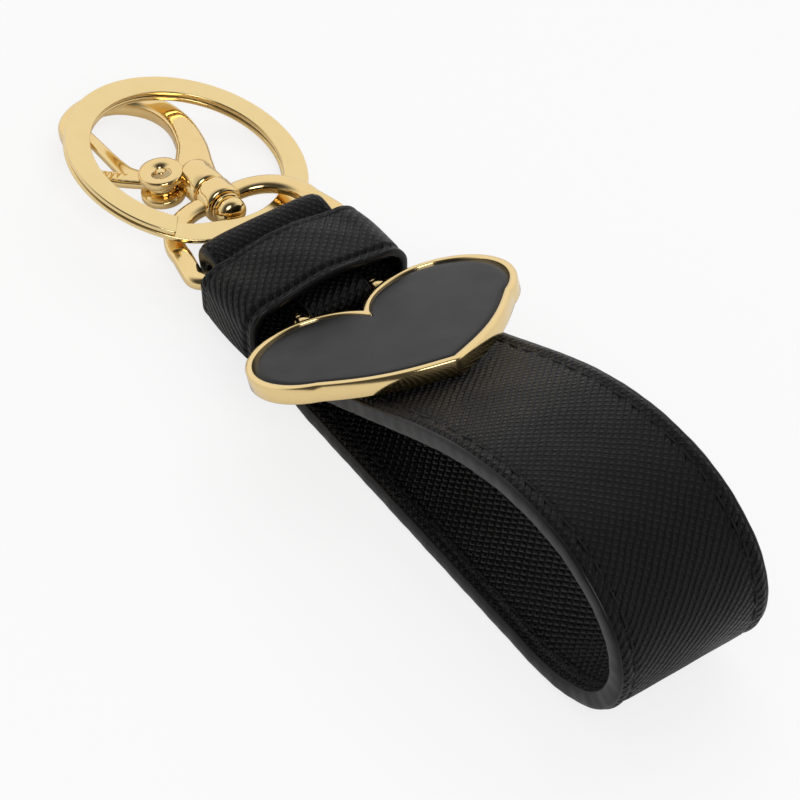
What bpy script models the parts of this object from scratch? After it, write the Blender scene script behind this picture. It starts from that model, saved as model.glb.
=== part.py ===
"""Wristlet keychain: a folded leather strap with a keeper band, a heart charm on a tab,
a D-ring with a swivelling snap hook, and a flat split key ring.

The strap lies on the plane Z = 0. X runs along the strap, with the wrist loop's bend at +X
and the metal hardware at -X. Y runs across the strap, and the strap is centred on Y = 0.
The origin is on the underside of the strap's flat run.
"""

import math

import bmesh
import bpy
from mathutils import Matrix

MM = 0.001

# Strap: three layers, from the outside of the loop to its inside.
STRAP_WIDTH = 22.0 * MM
OUTER_THICKNESS = 1.0 * MM
CORE_THICKNESS = 0.4 * MM
LINING_THICKNESS = 0.8 * MM
LAYER_GAP = 0.3 * MM
SEAT_GAP = 0.3 * MM

# Wrist loop: where the flat run ends, then arcs as (length, turn in degrees).
BEND_X = 30.0 * MM
LOOP_ARCS = (
    (12.0 * MM, 31.2),
    (12.0 * MM, 50.1),
    (12.0 * MM, 56.3),
    (12.0 * MM, 36.4),
    (12.0 * MM, 19.6),
    (12.0 * MM, 11.7),
    (8.0 * MM, 2.7),
)
EASE_LENGTH = 8.0 * MM
TAIL_LENGTH = 15.0 * MM
SKIVE_LENGTH = 8.0 * MM

# Ring-end fold round the D-ring's bar.
BAR_X = -45.0 * MM
BAR_RADIUS = 1.3 * MM
BAR_CLEARANCE = 0.3 * MM
FOLD_WIDTH = 18.8 * MM
RETURN_LENGTH = 6.5 * MM
RAMP_LENGTH = 12.0 * MM

# Keeper band, wrapped crosswise round the strap's layers.
KEEPER_LENGTH = 12.5 * MM
KEEPER_TO_BAR = 2.2 * MM
KEEPER_OUTER = 0.6 * MM
KEEPER_LINING = 0.5 * MM
KEEPER_CROWN = 1.2 * MM
KEEPER_SIDE_CLEARANCE = 0.35 * MM
KEEPER_CORNER = 0.6 * MM

# D-ring, in its own plane: distances are from the bar's axis outwards.
D_THICKNESS = 2.1 * MM
D_ARM_WIDTH = 2.9 * MM
D_SIDE_CLEARANCE = 0.6 * MM
D_HEIGHT = 13.9 * MM
D_CORNER = 6.0 * MM
D_LEAN = 1.0 * MM
D_EDGE = 0.65 * MM
HARDWARE_DROP = math.radians(4.5)
BOSS_RADIUS = 2.9 * MM
BOSS_LENGTH = 3.6 * MM

# Swivel post, its washer and its riveted head.
POST_RADIUS = 1.2 * MM
RUNNING_GAP = 0.3 * MM
WASHER_RADIUS = 2.3 * MM
WASHER_THICKNESS = 0.4 * MM
HEAD_RADIUS = 2.2 * MM
HEAD_LENGTH = 2.1 * MM
POST_REACH = 2.6 * MM

# Snap hook: its base barrel and its arm, a route with half widths, from the base outwards.
BASE_RADIUS = 2.8 * MM
BASE_LENGTH = 5.2 * MM
HOOK_THICKNESS = 3.0 * MM
HOOK_EDGE = 0.7 * MM
HOOK_ROUTE = (
    (1.5, 0.0, 2.4),
    (5.5, 0.8, 2.8),
    (10.5, 3.2, 2.2),
    (16.5, 4.4, 1.8),
    (22.0, 3.4, 1.6),
    (26.4, 0.0, 1.55),
    (27.6, -4.6, 1.5),
    (25.4, -8.6, 1.4),
    (21.2, -9.9, 1.2),
)

# Gate: its pivot, its lever and its thumb piece, measured like the hook's arm.
PIVOT_OUT = 6.0 * MM
PIVOT_SIDE = -4.3 * MM
HUB_RADIUS = 3.2 * MM
HUB_THICKNESS = 4.6 * MM
GATE_THICKNESS = 1.6 * MM
GATE_EDGE = 0.3 * MM
GATE_HUB_RADIUS = 2.1 * MM
PIN_RADIUS = 0.7 * MM
PIN_GAP = 0.15 * MM
GATE_ROUTE = (
    (6.0, -4.3, 1.4),
    (9.5, -6.7, 1.3),
    (13.0, -7.3, 0.95),
    (22.3, -7.3, 0.75),
)
THUMB_ROUTE = (
    (7.0, -5.2, 1.2),
    (10.2, -8.4, 1.2),
    (12.8, -10.6, 1.0),
)
SPRING_WIRE = 0.2 * MM
SPRING_RADIUS = 1.2 * MM
SPRING_TURNS = 2
SPRING_LENGTH = 0.7 * MM
SPRING_ROOM = 1.2 * MM

# Split key ring: two flat coils with a short step between them.
RING_OUTER_RADIUS = 17.5 * MM
RING_RIM = 3.6 * MM
COIL_THICKNESS = 0.75 * MM
COIL_PITCH = 0.92 * MM
RING_OUT = 22.0 * MM
RING_UP = 2.2 * MM
RING_PITCH = math.radians(10.5)
RING_ROLL = math.radians(15.7)
STEP_START = 325.0
STEP_ANGLE = 25.0
COIL_END_GAP = 3.0

# Heart charm: two lobe arcs and bowed sides; u runs from the lobes to the tip.
LOBE_RADIUS = 10.4 * MM
LOBE_OFFSET = 9.05 * MM
TIP_REACH = 19.0 * MM
SIDE_BOW = 1.3 * MM
HEART_THICKNESS = 2.5 * MM
RIM_WIDTH = 1.15 * MM
RECESS_DEPTH = 1.0 * MM
ENAMEL_GAP = 0.2 * MM
ENAMEL_SINK = 0.25 * MM
HEART_PITCH = math.radians(23.0)
HINGE_TO_LOBES = 12.4 * MM
PRONG_SPACING = 11.6 * MM
PRONG_WIDTH = 1.5 * MM
PRONG_RADIUS = 1.25 * MM
HEART_BAR_RADIUS = 0.75 * MM
HEART_BAR_X = -28.6 * MM
TAB_WIDTH = 9.4 * MM
TAB_THICKNESS = 0.8 * MM
TAB_CLEARANCE = 0.25 * MM

SKIVED = OUTER_THICKNESS + LAYER_GAP + LINING_THICKNESS
FULL = SKIVED + CORE_THICKNESS + LAYER_GAP
KEEPER_WALL = KEEPER_OUTER + LAYER_GAP + KEEPER_LINING
RUN_Z = KEEPER_WALL + SEAT_GAP
FOLD_RADIUS = SKIVED + BAR_CLEARANCE + BAR_RADIUS
BAR_Z = RUN_Z + FOLD_RADIUS
TAIL_TOP = RUN_Z + SKIVED + SEAT_GAP + SKIVED
KEEPER_BACK = BAR_X + KEEPER_TO_BAR
KEEPER_FRONT = KEEPER_BACK + KEEPER_LENGTH
TAB_RADIUS = HEART_BAR_RADIUS + TAB_CLEARANCE + TAB_THICKNESS
HEART_BAR_Z = TAIL_TOP + SEAT_GAP + TAB_RADIUS
D_INNER_HALF = FOLD_WIDTH / 2 + D_SIDE_CLEARANCE
BOSS_NEAR = D_HEIGHT - BOSS_LENGTH / 2
BASE_NEAR = BOSS_NEAR + BOSS_LENGTH + RUNNING_GAP


def clear_scene():
    """Remove every object of the open file."""
    for item in list(bpy.data.objects):
        bpy.data.objects.remove(item, do_unlink=True)


def make_collection(name):
    """Return a new collection linked to the scene."""
    group = bpy.data.collections.new(name)
    bpy.context.scene.collection.children.link(group)
    return group


def finish(name, colour, metallic, roughness):
    """Return a plain Principled material."""
    material = bpy.data.materials.new(name)
    material.use_nodes = True
    shader = material.node_tree.nodes["Principled BSDF"]
    shader.inputs["Base Color"].default_value = (*colour, 1.0)
    shader.inputs["Metallic"].default_value = metallic
    shader.inputs["Roughness"].default_value = roughness
    return material


def gold(name):
    """Return the polished gold finish."""
    return finish(name, (0.83, 0.60, 0.25), 1.0, 0.18)


def leather(name):
    """Return the black leather finish."""
    return finish(name, (0.012, 0.012, 0.013), 0.0, 0.5)


def place(item, group, material, matrix, parent=None):
    """Put an object in a collection, with its finish, place and parent."""
    group.objects.link(item)
    if material is not None:
        item.data.materials.clear()
        item.data.materials.append(material)
    item.parent = parent
    item.matrix_local = matrix
    return item


def plate_curve(name, outlines, thickness, edge=0.0):
    """Return a flat filled curve of closed outlines in XY, extruded along Z.

    The edges are rounded by the edge radius, inside the outline. Outer outlines run
    clockwise and holes run the other way.
    """
    curve = bpy.data.curves.new(name, "CURVE")
    curve.dimensions = "2D"
    curve.fill_mode = "BOTH"
    curve.extrude = thickness / 2 - edge
    curve.bevel_depth = edge
    curve.bevel_resolution = 1
    curve.offset = -edge
    for outline in outlines:
        spline = curve.splines.new("POLY")
        spline.points.add(len(outline) - 1)
        for point, (x, y) in zip(spline.points, outline):
            point.co = (x, y, 0.0, 1.0)
        spline.use_cyclic_u = True
    return bpy.data.objects.new(name, curve)


def as_mesh(item, group):
    """Replace a curve object by a welded mesh object of the same name and place."""
    bpy.context.view_layer.update()
    graph = bpy.context.evaluated_depsgraph_get()
    mesh = bpy.data.meshes.new_from_object(item.evaluated_get(graph))
    shape = bmesh.new()
    shape.from_mesh(mesh)
    bmesh.ops.remove_doubles(shape, verts=shape.verts, dist=0.000001)
    bmesh.ops.recalc_face_normals(shape, faces=shape.faces)
    shape.to_mesh(mesh)
    shape.free()
    name = item.name
    matrix = item.matrix_local.copy()
    parent = item.parent
    material = item.data.materials[0] if item.data.materials else None
    bpy.data.objects.remove(item, do_unlink=True)
    solid = bpy.data.objects.new(name, mesh)
    solid.name = name
    return place(solid, group, material, matrix, parent)


def cylinder(name, radius, length, group, material, matrix, parent=None, sides=32):
    """Return a capped cylinder along its own Z, centred on its origin."""
    mesh = bpy.data.meshes.new(name)
    shape = bmesh.new()
    bmesh.ops.create_cone(
        shape, cap_ends=True, segments=sides, radius1=radius, radius2=radius, depth=length
    )
    shape.to_mesh(mesh)
    shape.free()
    mesh.shade_smooth()
    mesh.set_sharp_from_angle(angle=math.radians(40))
    return place(bpy.data.objects.new(name, mesh), group, material, matrix, parent)


def box(name, size, group, material, matrix, parent=None):
    """Return a box of the given sizes, centred on its origin."""
    mesh = bpy.data.meshes.new(name)
    shape = bmesh.new()
    bmesh.ops.create_cube(shape, size=1.0)
    bmesh.ops.scale(shape, vec=size, verts=shape.verts)
    shape.to_mesh(mesh)
    shape.free()
    return place(bpy.data.objects.new(name, mesh), group, material, matrix, parent)


def boolean(item, other, operation):
    """Join or cut an object with another, which becomes a hidden wire guide."""
    modifier = item.modifiers.new(operation.lower(), "BOOLEAN")
    modifier.operation = operation
    modifier.object = other
    modifier.solver = "EXACT"
    other.hide_render = True
    other.display_type = "WIRE"


def soften(item, width, segments=2):
    """Round an object's sharp edges."""
    modifier = item.modifiers.new("rounded_edges", "BEVEL")
    modifier.width = width
    modifier.segments = segments
    modifier.limit_method = "ANGLE"
    modifier.angle_limit = math.radians(40)
    modifier.use_clamp_overlap = True


def walk(x, z, heading, legs, step):
    """Follow straight and curved legs and return points as (x, z, heading, distance)."""
    points = [(x, z, heading, 0.0)]
    distance = 0.0
    for length, turn in legs:
        count = max(1, math.ceil(length / step), math.ceil(abs(turn) / 9.0)) if turn else 1
        for _ in range(count):
            half = math.radians(turn) / count / 2
            chord = length / count
            if half:
                chord *= math.sin(half) / half
            heading += half
            x += chord * math.cos(heading)
            z += chord * math.sin(heading)
            heading += half
            distance += length / count
            points.append((x, z, heading, distance))
    return points


def offset_side(points, depth):
    """Return a route's points moved to its inner side by a depth at each distance."""
    side = []
    for x, z, heading, distance in points:
        inward = depth(distance)
        side.append((x - math.sin(heading) * inward, z + math.cos(heading) * inward))
    return side


def smooth(value):
    """Ease a value from 0 to 1."""
    value = min(1.0, max(0.0, value))
    return value * value * (3.0 - 2.0 * value)


def strap_route(step):
    """Return the strap's outer side, and the distances where its core starts and ends."""
    ramp_turn = 2 * math.atan(RUN_Z / RAMP_LENGTH)
    ramp_arc = RAMP_LENGTH / (2 * math.sin(ramp_turn)) * ramp_turn
    under_keeper = KEEPER_FRONT - BAR_X
    flat_start = KEEPER_FRONT + RAMP_LENGTH
    start = [
        (RETURN_LENGTH, 0.0),
        (math.pi * FOLD_RADIUS, 180.0),
        (under_keeper, 0.0),
        (ramp_arc, -math.degrees(ramp_turn)),
        (ramp_arc, math.degrees(ramp_turn)),
    ]
    core_start = sum(length for length, turn in start)
    bend = [(BEND_X - flat_start, 0.0), *LOOP_ARCS]
    top_z = BAR_Z + FOLD_RADIUS
    begun = walk(BAR_X + RETURN_LENGTH, top_z, math.pi, start + bend, step)
    x, z, heading, distance = begun[-1]
    fall = heading - 3 * math.pi
    ease_radius = EASE_LENGTH / fall
    ease_drop = ease_radius * (1 - math.cos(fall))
    straight = (z - TAIL_TOP - ease_drop) / math.sin(fall)
    end = [(straight, 0.0), (EASE_LENGTH, -math.degrees(fall)), (TAIL_LENGTH, 0.0)]
    core_end = distance + straight
    return walk(BAR_X + RETURN_LENGTH, top_z, math.pi, start + bend + end, step), core_start, core_end


def strap_layer(name, points, near, far, width, group, material):
    """Return one strap layer between two depths below the outer side."""
    outline = offset_side(points, near) + offset_side(points, far)[::-1]
    item = plate_curve(name, [outline], width)
    return place(item, group, material, Matrix.Rotation(math.pi / 2, 4, "X"))


def make_strap(parts, guides):
    """Build the strap's outer leather, core and lining."""
    points, core_start, core_end = strap_route(3.0 * MM)

    def lining_depth(distance):
        rise = smooth((distance - core_start + SKIVE_LENGTH) / SKIVE_LENGTH)
        fall = smooth((core_end + SKIVE_LENGTH - distance) / SKIVE_LENGTH)
        return OUTER_THICKNESS + LAYER_GAP + (CORE_THICKNESS + LAYER_GAP) * rise * fall

    outer = strap_layer(
        "strap_outer_leather", points, lambda d: 0.0, lambda d: OUTER_THICKNESS,
        STRAP_WIDTH, parts, leather("outer_leather"),
    )
    lining = strap_layer(
        "strap_lining", points, lining_depth, lambda d: lining_depth(d) + LINING_THICKNESS,
        STRAP_WIDTH, parts, leather("lining_leather"),
    )
    inner = [point for point in points if core_start <= point[3] <= core_end]
    core_depth = OUTER_THICKNESS + LAYER_GAP
    strap_layer(
        "strap_core", inner, lambda d: core_depth, lambda d: core_depth + CORE_THICKNESS,
        STRAP_WIDTH - 2 * LAYER_GAP, parts, finish("core_board", (0.3, 0.25, 0.2), 0.0, 0.9),
    )
    trim = (STRAP_WIDTH - FOLD_WIDTH) / 2
    reach = 4 * FOLD_RADIUS
    for item in (as_mesh(outer, parts), as_mesh(lining, parts)):
        for side in (-1, 1):
            place_y = side * (FOLD_WIDTH / 2 + trim)
            matrix = Matrix.Translation((KEEPER_BACK - reach / 2, place_y, BAR_Z))
            cutter = box(
                f"{item.name}_trim_{side}", (reach, 2 * trim, reach), guides, None, matrix
            )
            boolean(item, cutter, "DIFFERENCE")


def keeper_outline(grow):
    """Return the keeper's section in YZ: flat below, rounded corners and a crowned top."""
    half = STRAP_WIDTH / 2 + KEEPER_SIDE_CLEARANCE + grow
    low = KEEPER_WALL - grow
    high = BAR_Z + FOLD_RADIUS + SEAT_GAP + grow
    corner = KEEPER_CORNER + grow
    outline = []
    for centre_y, centre_z, start in (
        (half - corner, low + corner, -90),
        (half - corner, high - corner, 0),
        (corner - half, high - corner, 90),
        (corner - half, low + corner, 180),
    ):
        for turn in range(0, 91, 15):
            angle = math.radians(start + turn)
            y = centre_y + corner * math.cos(angle)
            z = centre_z + corner * math.sin(angle)
            outline.append((y, z))
        if start == 0:
            for share in (0.6, 0.3, 0.0, -0.3, -0.6):
                y = share * (half - corner)
                outline.append((y, high + KEEPER_CROWN * math.cos(share * math.pi / 2)))
    return outline


def make_keeper(parts):
    """Build the keeper's outer leather and its lining, two closed bands."""
    turn = Matrix(((0, 0, 1, 0), (1, 0, 0, 0), (0, 1, 0, 0), (0, 0, 0, 1)))
    centre = Matrix.Translation(((KEEPER_BACK + KEEPER_FRONT) / 2, 0, 0))
    lining_grow = KEEPER_LINING
    outer_start = KEEPER_LINING + LAYER_GAP
    lining = [keeper_outline(lining_grow), keeper_outline(0.0)]
    outer = [keeper_outline(outer_start + KEEPER_OUTER), keeper_outline(outer_start)]
    item = plate_curve("keeper_lining", lining, KEEPER_LENGTH)
    place(item, parts, leather("keeper_lining_leather"), centre @ turn)
    item = plate_curve("keeper_outer_leather", outer, KEEPER_LENGTH)
    place(item, parts, leather("keeper_leather"), centre @ turn)


def make_heart_tab(parts):
    """Build the leather tab, folded round the heart's bar with both ends in the keeper."""
    seat = HEART_BAR_Z - TAB_RADIUS
    pinch = seat + 2 * TAB_THICKNESS + LAYER_GAP
    fall = HEART_BAR_Z + TAB_RADIUS - pinch
    back = BAR_X + RETURN_LENGTH + SEAT_GAP
    run = HEART_BAR_X - back
    outer = [(back, seat)]
    for turn in range(-90, 90, 12):
        angle = math.radians(turn)
        x = HEART_BAR_X + TAB_RADIUS * math.cos(angle)
        outer.append((x, HEART_BAR_Z + TAB_RADIUS * math.sin(angle)))
    for index in range(9):
        share = index / 8
        outer.append((HEART_BAR_X - run * share, pinch + fall * (1 - smooth(share))))
    points = []
    for index, (x, z) in enumerate(outer):
        before = outer[max(0, index - 1)]
        after = outer[min(len(outer) - 1, index + 1)]
        slope = math.atan2(after[1] - before[1], after[0] - before[0])
        if index == 1:
            slope = 0.0
        points.append((x, z, slope, 0.0))
    outline = offset_side(points, lambda d: 0.0)
    outline += offset_side(points, lambda d: TAB_THICKNESS)[::-1]
    item = plate_curve("heart_tab", [outline], TAB_WIDTH)
    place(item, parts, leather("tab_leather"), Matrix.Rotation(math.pi / 2, 4, "X"))
    as_mesh(item, parts)


def heart_outline(inset):
    """Return the heart's outline in (u, v), moved inwards by an inset."""
    radius = LOBE_RADIUS - inset
    slope_reach = math.hypot(TIP_REACH, LOBE_OFFSET)
    half_tip = math.atan2(LOBE_OFFSET, TIP_REACH) + math.asin(LOBE_RADIUS / slope_reach)
    tip = TIP_REACH - inset / math.sin(half_tip)
    reach = math.hypot(tip, LOBE_OFFSET)
    leave = math.atan2(-LOBE_OFFSET, tip) + math.acos(radius / reach)
    cleft = 2 * math.pi - math.acos(-math.sqrt(1 - (LOBE_OFFSET / radius) ** 2))
    half = []
    count = 22
    for index in range(count + 1):
        angle = cleft + (leave - cleft) * index / count
        half.append((radius * math.cos(angle), LOBE_OFFSET + radius * math.sin(angle)))
    start_u, start_v = half[-1]
    length = math.hypot(tip - start_u, start_v)
    normal_u = start_v / length
    normal_v = (tip - start_u) / length
    for index in range(1, 7):
        share = index / 6
        bow = SIDE_BOW * math.sin(math.pi * share)
        u = start_u + (tip - start_u) * share + bow * normal_u
        v = start_v * (1 - share) + bow * normal_v
        half.append((u, v))
    return half + [(u, -v) for u, v in half[-2:0:-1]]


def make_heart(parts, guides):
    """Build the heart's frame, its enamel inlay and the bar that it hangs on."""
    hinge = bpy.data.objects.new("heart_hinge", None)
    frame = Matrix.Translation((HEART_BAR_X, 0, HEART_BAR_Z)) @ Matrix.Rotation(-HEART_PITCH, 4, "Y")
    place(hinge, parts, None, frame)
    centre = Matrix.Translation((HINGE_TO_LOBES, 0, 0))
    metal = gold("heart_gold")
    body = plate_curve("heart_frame", [heart_outline(0.0)], HEART_THICKNESS)
    place(body, parts, metal, centre, hinge)
    body = as_mesh(body, parts)
    floor = HEART_THICKNESS / 2 - RECESS_DEPTH
    depth = 2 * RECESS_DEPTH
    cut = plate_curve("heart_recess", [heart_outline(RIM_WIDTH)], depth)
    place(cut, guides, None, centre @ Matrix.Translation((0, 0, floor + depth / 2)), hinge)
    cut = as_mesh(cut, guides)
    boolean(body, cut, "DIFFERENCE")
    turn = Matrix.Rotation(math.pi / 2, 4, "X")
    reach = HINGE_TO_LOBES - LOBE_RADIUS + RIM_WIDTH
    half = 0.8 * PRONG_RADIUS
    prong = [(reach, -half), (0.6 * PRONG_RADIUS, -half)]
    for angle in range(300, 59, -20):
        turned = math.radians(angle)
        prong.append((PRONG_RADIUS * math.cos(turned), PRONG_RADIUS * math.sin(turned)))
    prong += [(0.6 * PRONG_RADIUS, half), (reach, half)]
    for side in (-1, 1):
        matrix = Matrix.Translation((0, side * PRONG_SPACING / 2, 0)) @ turn
        stem = plate_curve(f"prong_{side}", [prong], PRONG_WIDTH)
        stem = as_mesh(place(stem, guides, None, matrix, hinge), guides)
        boolean(body, stem, "UNION")
    hole = cylinder(
        "prong_hole", HEART_BAR_RADIUS + ENAMEL_GAP, 2 * PRONG_SPACING, guides, None, turn, hinge, 24
    )
    boolean(body, hole, "DIFFERENCE")
    thickness = RECESS_DEPTH - ENAMEL_SINK - ENAMEL_GAP
    inlay = plate_curve("heart_enamel", [heart_outline(RIM_WIDTH + ENAMEL_GAP)], thickness)
    height = floor + ENAMEL_GAP + thickness / 2
    colour = finish("dark_enamel", (0.06, 0.06, 0.06), 0.0, 0.25)
    place(inlay, parts, colour, centre @ Matrix.Translation((0, 0, height)), hinge)
    length = PRONG_SPACING + PRONG_WIDTH
    cylinder("heart_bar", HEART_BAR_RADIUS, length, parts, gold("bar_gold"), turn, hinge, 24)


def ribbon(route, origin_out, samples=5):
    """Return the outline of a band along a smooth route of (out, side, half width) in mm.

    The route is a Catmull-Rom curve; "out" is measured away from the bar, towards -X.
    """
    knots = [(-(origin_out + a * MM), b * MM, c * MM) for a, b, c in route]
    fine = []
    for index in range(len(knots) - 1):
        before = knots[max(0, index - 1)]
        first = knots[index]
        second = knots[index + 1]
        after = knots[min(len(knots) - 1, index + 2)]
        for part in range(samples):
            t = part / samples
            fine.append(
                tuple(
                    0.5 * (2 * q + (r - p) * t + (2 * p - 5 * q + 4 * r - s) * t**2
                           + (3 * q - p - 3 * r + s) * t**3)
                    for p, q, r, s in zip(before, first, second, after)
                )
            )
    fine.append(knots[-1])
    left = []
    right = []
    for index, (x, y, half) in enumerate(fine):
        x0, y0, _ = fine[max(0, index - 1)]
        x1, y1, _ = fine[min(len(fine) - 1, index + 1)]
        length = math.hypot(x1 - x0, y1 - y0)
        normal = (-(y1 - y0) / length, (x1 - x0) / length)
        left.append((x + normal[0] * half, y + normal[1] * half))
        right.append((x - normal[0] * half, y - normal[1] * half))
    x, y, half = fine[-1]
    x0, y0, _ = fine[-2]
    heading = math.atan2(y - y0, x - x0)
    cap = []
    for turn in (60, 30, 0, -30, -60):
        angle = heading + math.radians(turn)
        cap.append((x + half * math.cos(angle), y + half * math.sin(angle)))
    return left + cap + right[::-1]


def d_outline(half, near, far, near_corner, far_corner, lean):
    """Return a closed D outline, from its side by the bar round its far side and back."""
    side = []
    for turn in range(0, 91, 15):
        angle = math.radians(turn)
        x = near - near_corner + near_corner * math.cos(angle)
        y = half - near_corner + near_corner * math.sin(angle)
        side.append((x, y))
    for turn in range(90, 181, 15):
        angle = math.radians(turn)
        x = far_corner - far + far_corner * math.cos(angle)
        y = half - lean - far_corner + far_corner * math.sin(angle)
        side.append((x, y))
    return side + [(x, -y) for x, y in side[::-1]]


def make_d_ring(parts, guides, frame):
    """Build the D-ring: its bar and arms in one plate, and a boss bored for the post."""
    top = D_HEIGHT + D_ARM_WIDTH / 2
    low = D_HEIGHT - D_ARM_WIDTH / 2
    half = D_INNER_HALF + D_ARM_WIDTH
    outer = d_outline(half, BAR_RADIUS, top, BAR_RADIUS, D_CORNER + D_ARM_WIDTH, D_LEAN)
    inner = d_outline(D_INNER_HALF, -BAR_RADIUS, low, D_SIDE_CLEARANCE, D_CORNER, D_LEAN)
    ring = plate_curve("d_ring", [outer[::-1], inner], D_THICKNESS, D_EDGE)
    place(ring, parts, gold("d_ring_gold"), Matrix.Identity(4), frame)
    ring = as_mesh(ring, parts)
    lengthwise = Matrix.Translation((-D_HEIGHT, 0, 0)) @ Matrix.Rotation(math.pi / 2, 4, "Y")
    boss = cylinder("d_boss", BOSS_RADIUS, BOSS_LENGTH, guides, None, lengthwise, frame)
    soften(boss, 0.5 * MM)
    bore = cylinder(
        "d_boss_bore", POST_RADIUS + RUNNING_GAP, 3 * BOSS_LENGTH, guides, None, lengthwise, frame
    )
    boolean(ring, boss, "UNION")
    boolean(ring, bore, "DIFFERENCE")


def turned(name, profile, group, material, matrix, parent, sides=32):
    """Return a body turned about its own Z from a profile of (radius, height)."""
    mesh = bpy.data.meshes.new(name)
    edges = [(index, index + 1) for index in range(len(profile) - 1)]
    mesh.from_pydata([(radius, 0.0, height) for radius, height in profile], edges, [])
    item = place(bpy.data.objects.new(name, mesh), group, material, matrix, parent)
    screw = item.modifiers.new("turned", "SCREW")
    screw.axis = "Z"
    screw.steps = sides
    screw.render_steps = sides
    screw.use_merge_vertices = True
    screw.merge_threshold = 0.0001 * MM
    screw.use_smooth_shade = True
    return item


def make_swivel(parts, swivel):
    """Build the post that the hook turns on, with its domed head, and the washer."""
    washer_far = BOSS_NEAR - RUNNING_GAP
    washer_near = washer_far - WASHER_THICKNESS
    head_far = washer_near - RUNNING_GAP
    head_near = head_far - HEAD_LENGTH
    side = head_near + HEAD_LENGTH / 2
    profile = [(0.0, -head_near)]
    for turn in range(15, 91, 15):
        angle = math.radians(turn)
        depth = (side - head_near) * (1 - math.cos(angle))
        profile.append((HEAD_RADIUS * math.sin(angle), -head_near - depth))
    shaft_end = BASE_NEAR + POST_REACH
    profile += [
        (HEAD_RADIUS, -head_far),
        (POST_RADIUS, -head_far),
        (POST_RADIUS, -shaft_end),
        (0.0, -shaft_end),
    ]
    lengthwise = Matrix.Rotation(math.pi / 2, 4, "Y")
    turned("swivel_post", profile, parts, gold("post_gold"), lengthwise, swivel)
    bore = POST_RADIUS + RUNNING_GAP
    section = [
        (bore, -washer_far),
        (bore, -washer_near),
        (WASHER_RADIUS, -washer_near),
        (WASHER_RADIUS, -washer_far),
        (bore, -washer_far),
    ]
    turned("swivel_washer", section, parts, gold("washer_gold"), lengthwise, swivel)


def make_hook(parts, guides, swivel):
    """Build the snap hook's body: barrel, curved arm, and a forked hub for the gate."""
    body = plate_curve("hook_body", [ribbon(HOOK_ROUTE, BASE_NEAR)], HOOK_THICKNESS, HOOK_EDGE)
    place(body, parts, gold("hook_gold"), Matrix.Identity(4), swivel)
    body = as_mesh(body, parts)
    middle = Matrix.Translation((-(BASE_NEAR + BASE_LENGTH / 2), 0, 0))
    lengthwise = Matrix.Rotation(math.pi / 2, 4, "Y")
    barrel = cylinder("hook_barrel", BASE_RADIUS, BASE_LENGTH, guides, None, middle @ lengthwise, swivel)
    soften(barrel, 0.5 * MM)
    pivot = Matrix.Translation((-(BASE_NEAR + PIVOT_OUT), PIVOT_SIDE, 0))
    hub = cylinder("hook_hub", HUB_RADIUS, HUB_THICKNESS, guides, None, pivot, swivel)
    soften(hub, 0.4 * MM)
    slot_width = GATE_THICKNESS + 2 * RUNNING_GAP
    slot = cylinder("hook_slot", HUB_RADIUS + 0.4 * MM, slot_width, guides, None, pivot, swivel)
    pin_bore = cylinder(
        "hook_pin_bore", PIN_RADIUS + PIN_GAP, 2 * HUB_THICKNESS, guides, None, pivot, swivel, 24
    )
    depth = POST_REACH + RUNNING_GAP
    start = Matrix.Translation((-BASE_NEAR, 0, 0))
    post_bore = cylinder(
        "hook_post_bore", POST_RADIUS + RUNNING_GAP, 2 * depth, guides, None, start @ lengthwise, swivel
    )
    boolean(body, barrel, "UNION")
    boolean(body, hub, "UNION")
    boolean(body, slot, "DIFFERENCE")
    boolean(body, post_bore, "DIFFERENCE")
    boolean(body, pin_bore, "DIFFERENCE")


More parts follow.
